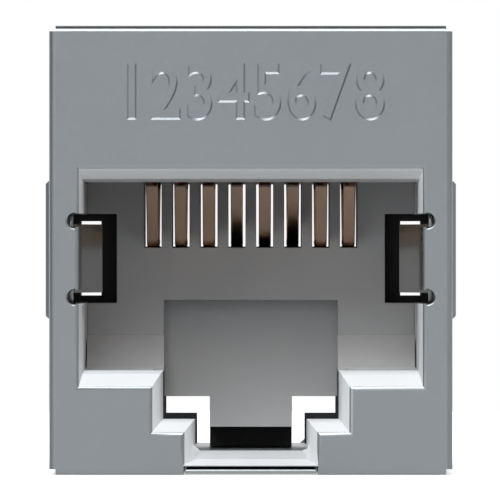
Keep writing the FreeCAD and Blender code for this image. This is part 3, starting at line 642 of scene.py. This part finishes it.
def number_cutter(sizes, number, across):
    """Solid that engraves one number into the front face, with walls that lean out to the surface."""
    curve = bpy.data.curves.new("number", "FONT")
    curve.body = str(number)
    curve.align_x = "CENTER"
    curve.align_y = "CENTER"
    curve.size = sizes.number_height / DIGIT_HEIGHT
    curve.extrude = 2 * sizes.number_wall
    curve.bevel_depth = sizes.number_wall
    curve.bevel_resolution = 0
    curve.resolution_u = 6
    text = bpy.data.objects.new("number", curve)
    bpy.context.scene.collection.objects.link(text)
    depsgraph = bpy.context.evaluated_depsgraph_get()
    mesh = bpy.data.meshes.new_from_object(text.evaluated_get(depsgraph))
    low = min(v.co.x for v in mesh.vertices)
    high = max(v.co.x for v in mesh.vertices)
    bpy.data.objects.remove(text)
    bpy.data.curves.remove(curve)
    upright = Matrix.Rotation(math.pi / 2, 4, "X")
    # Only the leaning walls below the extrusion are in the metal.
    centred = Matrix.Translation((-(low + high) / 2, 0, 2 * sizes.number_wall))
    narrowed = Matrix.Diagonal((sizes.number_narrowing, 1, math.tan(sizes.number_slope), 1))
    place = Matrix.Translation((across, FRONT_FACE_Y, sizes.number_middle))
    mesh.transform(place @ upright @ narrowed @ centred)
    return mesh


def number_cutters(sizes, turn):
    """The cutters of all pin numbers of one port in one mesh."""
    cutters = bmesh.new()
    for number in range(1, CONTACTS + 1):
        across = (number - (CONTACTS + 1) / 2) * sizes.number_pitch
        cut = number_cutter(sizes, number, across)
        cut.transform(turn)
        cutters.from_mesh(cut)
        bpy.data.meshes.remove(cut)
    bmesh.ops.remove_doubles(cutters, verts=cutters.verts, dist=JOINED)
    bmesh.ops.recalc_face_normals(cutters, faces=cutters.faces)
    mesh = bpy.data.meshes.new("numbers")
    cutters.to_mesh(mesh)
    cutters.free()
    return mesh


def cut_away(piece, cutter_mesh):
    """Takes a closed mesh away from a piece."""
    cutter = bpy.data.objects.new("cutter", cutter_mesh)
    bpy.context.scene.collection.objects.link(cutter)
    cut = piece.modifiers.new("cut", "BOOLEAN")
    cut.operation = "DIFFERENCE"
    cut.solver = "EXACT"
    cut.use_self = True
    cut.object = cutter
    depsgraph = bpy.context.evaluated_depsgraph_get()
    mesh = bpy.data.meshes.new_from_object(piece.evaluated_get(depsgraph))
    piece.modifiers.clear()
    piece.data = mesh
    bpy.data.objects.remove(cutter)
    bpy.data.meshes.remove(cutter_mesh)


def finished_shell(name, sizes, turn):
    """Copy of a half shell with rounded edges round its port and plain pin numbers over it."""
    faces = rounded_shell(name, sizes)
    for face in faces.faces:
        face.material_index = BARE
    shell = new_piece(f"{name}_finished", faces)
    cut_away(shell, number_cutters(sizes, turn))
    shade_evenly(shell)
    shell.data.set_sharp_from_angle(angle=SHARP_EDGE)
    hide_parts(name)
    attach(shell, "root")
    return shell


# Facings on the half shells
def facing_of(name, sizes, mark):
    """Thin closed facing on a half shell's faces with a mark, from its seat in the casting to just proud."""
    surface = rounded_shell(name, sizes)
    others = [face for face in surface.faces if face.material_index != mark]
    bmesh.ops.delete(surface, geom=others, context="FACES")
    surface.normal_update()
    band = bmesh.new()
    outer = {}
    inner = {}
    for corner in surface.verts:
        lift = corner.normal * corner.calc_shell_factor()
        outer[corner] = band.verts.new(corner.co + lift * sizes.lining_proud)
        inner[corner] = band.verts.new(corner.co - lift * sizes.lining_seat)
        if abs(corner.co.z - LATCH_FLOOR) < SAME and abs(depth_of(corner.co) - LEAD_IN_DEPTH) < SAME:
            outer[corner].co.y += math.copysign(sizes.lip_lean, corner.co.y)
    for face in surface.faces:
        band.faces.new([outer[corner] for corner in face.verts])
        band.faces.new([inner[corner] for corner in reversed(face.verts)])
    for edge in surface.edges:
        if edge.is_boundary:
            loop = edge.link_loops[0]
            first, second = loop.vert, loop.link_loop_next.vert
            band.faces.new([outer[second], outer[first], inner[first], inner[second]])
    surface.free()
    return band


def add_beads(band, sizes, turn):
    """Beads on a port's floor and walls that close the insert's clearance to them."""
    floor_end = FRONT_FACE_Y + RAMP_TOE - sizes.bead_play
    wall_end = FRONT_FACE_Y + PORT_DEPTH - sizes.bead_play
    for side in (-1, 1):
        for low, high, end in (
            ((LATCH_SIDE, PORT_FLOOR), (PORT_SIDE, BEAD_TOP), floor_end),
            ((LATCH_SIDE, PORT_FLOOR - sizes.bead_drop), (LATCH_ROOM, PORT_FLOOR), floor_end),
            ((INSERT_SIDE, PORT_FLOOR), (PORT_SIDE, CHANNEL_BOTTOM), wall_end),
            ((INSERT_SIDE, CHANNEL_TOP), (PORT_SIDE, PORT_TOP), wall_end),
        ):
            across = sorted((side * low[0], side * high[0]))
            first = turn @ Vector((across[0], end - sizes.bead_width, low[1]))
            last = turn @ Vector((across[1], end, high[1]))
            add_box(band, first, last)


def add_ramp_facings(band, sizes, turn):
    """Thin facings that carry the lining up the insert's two floor ramps."""
    toe = Vector((0, FRONT_FACE_Y + RAMP_TOE, RAMP_FOOT))
    top = Vector((0, FRONT_FACE_Y + PORT_DEPTH, RAMP_TOP))
    slope = top - toe
    out = Vector((0, -slope.z, slope.y)).normalized()
    section = [
        toe - out * sizes.lining_seat,
        toe + out * sizes.lining_proud,
        top + out * sizes.lining_proud,
        top - out * sizes.lining_seat,
    ]
    for side in (-1, 1):
        ends = []
        for across in sorted((side * LATCH_SIDE, side * INSERT_SIDE)):
            ends.append([band.verts.new(turn @ (corner + Vector((across, 0, 0)))) for corner in section])
        first, last = ends
        faces = [band.faces.new(first), band.faces.new(reversed(last))]
        for n in range(len(section)):
            after = (n + 1) % len(section)
            faces.append(band.faces.new([first[after], first[n], last[n], last[after]]))
        bmesh.ops.recalc_face_normals(band, faces=faces)


def add_facing(name, band, finish):
    """Makes a piece on the half shells from the faces of a band."""
    piece = new_piece(name, band)
    dress(piece, finish)
    shade_evenly(piece)
    piece.data.set_sharp_from_angle(angle=SHARP_EDGE)
    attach(piece, "root")


# Centre block and tie plate
def finished_block(sizes):
    """Copy of the centre block with ribs that close it under the contact tips and outside the springs."""
    faces = node_faces("centre_block")
    low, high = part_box("centre_block")
    contact_low, contact_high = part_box("front_contact_1")
    half = (contact_high.x - contact_low.x) / 2
    foot = contact_low.z - RIB_FOOT
    head = contact_low.z + sizes.rib_rise
    for first, last in ((low.y, low.y + sizes.rib_depth), (high.y - sizes.rib_depth, high.y)):
        for pin in pin_places():
            add_box(faces, (pin - half, first, foot), (pin + half, last, head))
    middle = (SPRING_LOW.z + SPRING_HIGH.z) / 2
    for bottom, top in (
        (middle - SLOT_HALF, middle - STRIP_HALF),
        (middle + STRIP_HALF, middle + SLOT_HALF),
    ):
        for left, right in ((-high.x, -sizes.rib_side), (sizes.rib_side, high.x)):
            add_box(faces, (left, low.y, bottom), (right, high.y, top))
    block = new_piece("centre_block_finished", faces)
    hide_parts("centre_block")
    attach(block, "root")
    return block


def finished_plate(sizes):
    """Copy of the tie plate with its ends rolled out to the two faces and their corners made tighter."""
    faces = node_faces("tie_plate")
    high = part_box("tie_plate")[1]
    share = sizes.plate_corner / PLATE_CORNER
    for corner in faces.verts:
        short = high.y - abs(corner.co.y)
        if short < PLATE_CORNER + SAME:
            inset = high.x - abs(corner.co.x)
            corner.co.y = math.copysign(high.y + sizes.plate_reach - short * share, corner.co.y)
            corner.co.x = math.copysign(high.x - inset * share, corner.co.x)
    plate = new_piece("tie_plate_finished", faces)
    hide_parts("tie_plate")
    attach(plate, "root")
    return plate


# Studio
def lay_floor(scene, studio):
    """Sheet of paper on a light table, just under the coupler."""
    half = studio.floor_size / 2
    level = CAD_LOW.z - FLOOR_PLAY
    corners = [(-half, -half, level), (half, -half, level), (half, half, level), (-half, half, level)]
    mesh = bpy.data.meshes.new("floor")
    mesh.from_pydata(corners, [], [(0, 1, 2, 3)])
    mesh.materials.append(seamless_paper(scene.coupler_colours, studio.table_light))
    floor = bpy.data.objects.new("floor", mesh)
    scene.collection.objects.link(floor)
    # The mouldings are lit by the studio alone: the paper takes shadows, but only metal reflects it.
    floor.visible_diffuse = False
    floor.visible_shadow = False


def light_studio(scene, studio):
    """Round soft lamp and three broad screens in a dim room, with a white backdrop for the camera alone."""
    world = bpy.data.worlds.new("soft_studio")
    world.use_nodes = True
    tree = world.node_tree
    tree.nodes.clear()
    toward = add_node(tree, "ShaderNodeTexCoord").outputs["Generated"]
    axes = add_node(tree, "ShaderNodeSeparateXYZ", Vector=toward)
    room = add_node(
        tree, "ShaderNodeMapRange", {"interpolation_type": "SMOOTHSTEP"}, Value=axes.outputs["Z"],
        From_Min=0.3, From_Max=0.7, To_Min=studio.room_light, To_Max=studio.ceiling_light,
    )
    total = room.outputs["Result"]
    for name in ("key", "front", "right", "back"):
        height = getattr(studio, f"{name}_height")
        side = getattr(studio, f"{name}_side")
        core = getattr(studio, f"{name}_core")
        edge = getattr(studio, f"{name}_edge")
        level = math.cos(height)
        middle = Vector((-math.sin(side) * level, -math.cos(side) * level, math.sin(height)))
        nearness = add_node(tree, "ShaderNodeVectorMath", {"operation": "DOT_PRODUCT"}, _0=toward, _1=middle)
        lamp = add_node(
            tree, "ShaderNodeMapRange", {"interpolation_type": "SMOOTHSTEP"}, Value=nearness.outputs["Value"],
            From_Min=math.cos(edge), From_Max=math.cos(core),
            To_Min=0.0, To_Max=getattr(studio, f"{name}_light"),
        )
        lit = add_node(tree, "ShaderNodeMath", {"operation": "ADD"}, _0=total, _1=lamp.outputs["Result"])
        total = lit.outputs["Value"]
    light = add_node(tree, "ShaderNodeBackground", Color=scene.coupler_colours.lamp, Strength=total)
    backdrop = add_node(tree, "ShaderNodeBackground", Color=scene.coupler_colours.backdrop, Strength=1.0)
    ray = add_node(tree, "ShaderNodeLightPath")
    mixed = add_node(
        tree, "ShaderNodeMixShader", Fac=ray.outputs["Is Camera Ray"],
        _1=light.outputs["Background"], _2=backdrop.outputs["Background"],
    )
    add_node(tree, "ShaderNodeOutputWorld", Surface=mixed.outputs["Shader"])
    scene.world = world


def place_camera(scene, studio):
    """Long lens straight in front of the port."""
    data = bpy.data.cameras.new("camera")
    data.sensor_width = 36.0
    data.lens = data.sensor_width / 2 / math.tan(studio.half_angle)
    distance = studio.frame_width / 2 / math.tan(studio.half_angle)
    camera = bpy.data.objects.new("camera", data)
    camera.location = (-studio.camera_across, FRONT_FACE_Y - distance, studio.camera_height)
    camera.rotation_euler = (math.pi / 2, 0, 0)
    scene.collection.objects.link(camera)
    scene.camera = camera


# Operators
class COUPLER_OT_half_shells(bpy.types.Operator):
    """Finish the two cast half shells and engrave their pin numbers"""

    bl_idname = "coupler.half_shells"
    bl_label = "Half shells"

    def execute(self, context):
        scene = context.scene
        finish = nickel_plated_zinc(scene.coupler_colours)
        for end, turn in ENDS.items():
            shell = finished_shell(f"{end}_shell", scene.coupler_sizes, turn)
            dress(shell, finish)
        return {"FINISHED"}


class COUPLER_OT_port_linings(bpy.types.Operator):
    """Line the lead-in and the inner walls of both ports with a moulding"""

    bl_idname = "coupler.port_linings"
    bl_label = "Port linings"

    def execute(self, context):
        scene = context.scene
        sizes = scene.coupler_sizes
        finish = moulded_polyester("moulded_light_polyester", scene.coupler_colours.lining, mirror=0.08)
        for end, turn in ENDS.items():
            band = facing_of(f"{end}_shell", sizes, LINED)
            add_beads(band, sizes, turn)
            add_ramp_facings(band, sizes, turn)
            add_facing(f"{end}_port_lining", band, finish)
        return {"FINISHED"}


class COUPLER_OT_jack_inserts(bpy.types.Operator):
    """Finish the two grey jack inserts"""

    bl_idname = "coupler.jack_inserts"
    bl_label = "Jack inserts"

    def execute(self, context):
        scene = context.scene
        finish = moulded_polyester("moulded_grey_polyester", scene.coupler_colours.insert, mirror=0.3)
        for end in ENDS:
            node = NODES[f"{end}_jack_insert"]
            dress(node, finish)
            soften(node, scene.coupler_sizes.moulded_edge)
        return {"FINISHED"}


class COUPLER_OT_centre_block(bpy.types.Operator):
    """Finish the black block between the inserts"""

    bl_idname = "coupler.centre_block"
    bl_label = "Centre block"

    def execute(self, context):
        scene = context.scene
        finish = moulded_polyester("moulded_black_polyester", scene.coupler_colours.block, mirror=0.2)
        block = finished_block(scene.coupler_sizes)
        dress(block, finish)
        soften(block, scene.coupler_sizes.block_edge)
        return {"FINISHED"}


class COUPLER_OT_contacts(bpy.types.Operator):
    """Finish the contact strips of both ports"""

    bl_idname = "coupler.contacts"
    bl_label = "Contacts"

    def execute(self, context):
        scene = context.scene
        sizes = scene.coupler_sizes
        finish = gold_flashed_bronze(scene.coupler_colours, sizes.plated_top)
        for end in ENDS:
            for pin in range(1, CONTACTS + 1):
                node = NODES[f"{end}_contact_{pin}"]
                dress(node, finish)
                soften(node, sizes.wire_edge)
        return {"FINISHED"}


class COUPLER_OT_ground_springs(bpy.types.Operator):
    """Finish the two ground springs and face the places on the half shells where they bear"""

    bl_idname = "coupler.ground_springs"
    bl_label = "Ground springs"

    def execute(self, context):
        scene = context.scene
        sizes = scene.coupler_sizes
        # Rolling lines are some 0.01 mm apart. They are drawn at 0.06 mm to show at all.
        # The spring's ends get painted shade, down to 0.12 of the strip's colour.
        finish = rolled_strip(
            "bright_rolled_spring_steel", scene.coupler_colours.spring,
            roughness=0.22, spacing=0.06, end_shade_tone=0.12,
        )
        for name in ("left_ground_spring", "right_ground_spring"):
            dress(NODES[name], finish)
            soften(NODES[name], sizes.stamped_edge)
        for end in ENDS:
            band = facing_of(f"{end}_shell", sizes, BEARING)
            add_facing(f"{end}_spring_bearings", band, finish)
        return {"FINISHED"}


class COUPLER_OT_wiring_board(bpy.types.Operator):
    """Finish the wiring board"""

    bl_idname = "coupler.wiring_board"
    bl_label = "Wiring board"

    def execute(self, context):
        dress(NODES["circuit_board"], masked_laminate(context.scene.coupler_colours))
        return {"FINISHED"}


class COUPLER_OT_tie_plate(bpy.types.Operator):
    """Finish the tie plate under the body"""

    bl_idname = "coupler.tie_plate"
    bl_label = "Tie plate"

    def execute(self, context):
        scene = context.scene
        # Grinding lines are drawn at 0.1 mm, some three times as wide as they are.
        # The plate's rolled ends get painted shade, at 0.75 of the plate's colour.
        finish = rolled_strip(
            "stamped_stainless_plate", scene.coupler_colours.plate,
            roughness=0.34, spacing=0.1, end_shade_tone=0.75,
        )
        plate = finished_plate(scene.coupler_sizes)
        dress(plate, finish)
        soften(plate, scene.coupler_sizes.plate_edge)
        return {"FINISHED"}


class COUPLER_OT_stage(bpy.types.Operator):
    """Set up the floor, the soft studio light and the camera"""

    bl_idname = "coupler.stage"
    bl_label = "Stage"

    def execute(self, context):
        scene = context.scene
        studio = scene.coupler_studio
        lay_floor(scene, studio)
        light_studio(scene, studio)
        place_camera(scene, studio)
        scene.view_settings.view_transform = "Standard"
        return {"FINISHED"}


# Panel
class COUPLER_PT_finish(bpy.types.Panel):
    """Lists the steps that finish the coupler, and their settings"""

    bl_idname = "COUPLER_PT_finish"
    bl_label = "Inline coupler"
    bl_space_type = "VIEW_3D"
    bl_region_type = "UI"
    bl_category = "Coupler"

    def draw(self, context):
        for step in STEPS:
            self.layout.operator(step.bl_idname)
        for name, group in SETTINGS.items():
            box = self.layout.box()
            for setting in group.__annotations__:
                box.prop(getattr(context.scene, name), setting)


SETTINGS = {
    "coupler_colours": CouplerColours,
    "coupler_sizes": CouplerSizes,
    "coupler_studio": CouplerStudio,
}
STEPS = (
    COUPLER_OT_half_shells,
    COUPLER_OT_port_linings,
    COUPLER_OT_jack_inserts,
    COUPLER_OT_centre_block,
    COUPLER_OT_contacts,
    COUPLER_OT_ground_springs,
    COUPLER_OT_wiring_board,
    COUPLER_OT_tie_plate,
    COUPLER_OT_stage,
)


def register():
    """Registers the settings, the steps and the panel."""
    for name, group in SETTINGS.items():
        bpy.utils.register_class(group)
        setattr(bpy.types.Scene, name, bpy.props.PointerProperty(type=group))
    for step in STEPS:
        bpy.utils.register_class(step)
    bpy.utils.register_class(COUPLER_PT_finish)


def unregister():
    """Takes back what register did."""
    bpy.utils.unregister_class(COUPLER_PT_finish)
    for step in reversed(STEPS):
        bpy.utils.unregister_class(step)
    for name, group in SETTINGS.items():
        delattr(bpy.types.Scene, name)
        bpy.utils.unregister_class(group)


def main():
    """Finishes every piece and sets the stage."""
    register()
    bpy.ops.coupler.half_shells()
    bpy.ops.coupler.port_linings()
    bpy.ops.coupler.jack_inserts()
    bpy.ops.coupler.centre_block()
    bpy.ops.coupler.contacts()
    bpy.ops.coupler.ground_springs()
    bpy.ops.coupler.wiring_board()
    bpy.ops.coupler.tie_plate()
    bpy.ops.coupler.stage()


if __name__ == "__main__":
    main()
